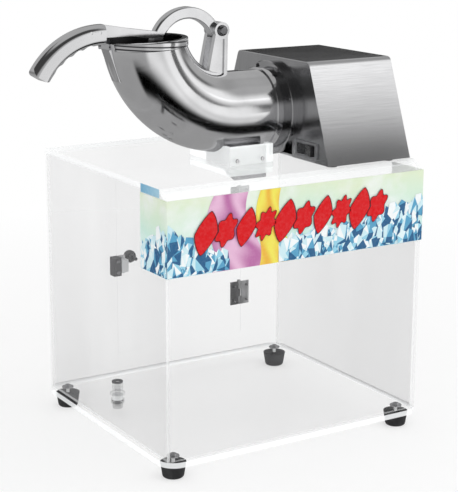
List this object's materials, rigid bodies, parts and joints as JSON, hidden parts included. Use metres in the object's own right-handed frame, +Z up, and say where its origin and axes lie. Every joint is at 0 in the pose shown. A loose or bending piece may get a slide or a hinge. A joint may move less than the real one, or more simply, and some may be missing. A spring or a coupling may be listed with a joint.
{
  "type": "lever-fed ice shaver on a clear cabinet",
  "caption": "Bench-top ice shaver: an elbow hopper with a hinged pusher lever feeds a motor-driven blade disc over a clear cabinet with a rear door.",
  "frame": {"origin": "bottom centre of the overall box, on the table under the rubber feet", "axes": "+X to the right along the front, from the lever's grip to the motor; +Y to the back, where the door is; +Z up"},
  "size_m": [0.5492, 0.402, 0.636],
  "materials": {
    "clear_acrylic": "clear acrylic sheet with polished edges",
    "clear_fitting": "clear moulded plastic",
    "printed_film": null,
    "black_rubber": "moulded rubber",
    "polished_aluminium": "polished cast aluminium",
    "polished_steel": "polished steel",
    "brushed_steel": "stainless sheet",
    "fastener_steel": "plated steel",
    "blade_steel": "ground steel",
    "motor_enamel": "dark enamel",
    "core_steel": "laminated steel",
    "bearing_steel": "ground steel",
    "black_plastic": "black moulded plastic",
    "grey_plastic": "dark moulded plastic"
  },
  "bodies": {
    "cabinet": {"base_plate": "clear_acrylic", "front_panel": "clear_acrylic", "left_panel": "clear_acrylic", "right_panel": "clear_acrylic", "back_panel": "clear_acrylic", "top_plate": "clear_acrylic", "clear_chute": "clear_acrylic", "drain_fitting": "clear_fitting", "drain_nut": "clear_fitting", "sign_panel": "printed_film", "rubber_feet": "black_rubber", "rest_bumper": "black_rubber", "machine_feet": "black_rubber", "elbow_hopper": "polished_aluminium", "hopper_tube": "polished_aluminium", "pivot_bracket": "polished_aluminium", "mouth_ring": "polished_steel", "clamp_ring": "polished_steel", "collar_flange": "polished_steel", "pivot_pin": "polished_steel", "discharge_spout": "brushed_steel", "housing_cover": "brushed_steel", "left_end_plate": "brushed_steel", "right_end_plate": "brushed_steel", "base_frame": "brushed_steel", "motor_mount": "brushed_steel", "bearing_carrier": "brushed_steel", "hinge_fixed_leaves": "brushed_steel", "hinge_pins": "brushed_steel", "foot_fasteners": "fastener_steel", "panel_screws": "fastener_steel", "clamp_screws": "fastener_steel", "flange_bolts": "fastener_steel", "chute_screws": "fastener_steel", "pivot_nut": "fastener_steel", "motor_bolts": "fastener_steel", "cover_screws": "fastener_steel", "motor_body": "motor_enamel", "motor_end_bells": "motor_enamel", "shaft_bearing": "bearing_steel", "switch_bezel": "black_plastic", "magnetic_catch": "grey_plastic", "cord_gland": "grey_plastic"},
    "door": {"back_door": "clear_acrylic", "hinge_door_leaves": "brushed_steel", "door_screws": "fastener_steel", "strike_plate": "brushed_steel", "door_knob": "black_plastic"},
    "lever": {"lever_arm": "polished_aluminium", "handle_grip": "polished_aluminium", "grip_pins": "fastener_steel", "pusher_plate": "polished_aluminium", "pusher_screws": "fastener_steel"},
    "spindle": {"drive_shaft": "core_steel", "motor_rotor": "core_steel", "blade_disc": "blade_steel", "blades": "blade_steel", "blade_screws": "fastener_steel", "spindle_nut": "fastener_steel"},
    "rocker": {"rocker_switch": "black_plastic"}
  },
  "joints": [
    {"name": "lever_pivot", "type": "hinge", "parent": "cabinet", "child": "lever", "pos_m": [0.01565, -0.03, 0.601], "axis": [0, 1, 0], "range_deg": [0, 95]},
    {"name": "door_hinge", "type": "hinge", "parent": "cabinet", "child": "door", "pos_m": [0.1919, 0.186, 0.213], "axis": [0, 0, -1], "range_deg": [0, 120]},
    {"name": "spindle_spin", "type": "hinge", "parent": "cabinet", "child": "spindle", "pos_m": [0.05365, -0.03, 0.482], "axis": [1, 0, 0], "continuous": true},
    {"name": "rocker_tilt", "type": "hinge", "parent": "cabinet", "child": "rocker", "pos_m": [0.11316, -0.122, 0.432], "axis": [0, 0, 1], "range_deg": [0, 16]}
  ]
}
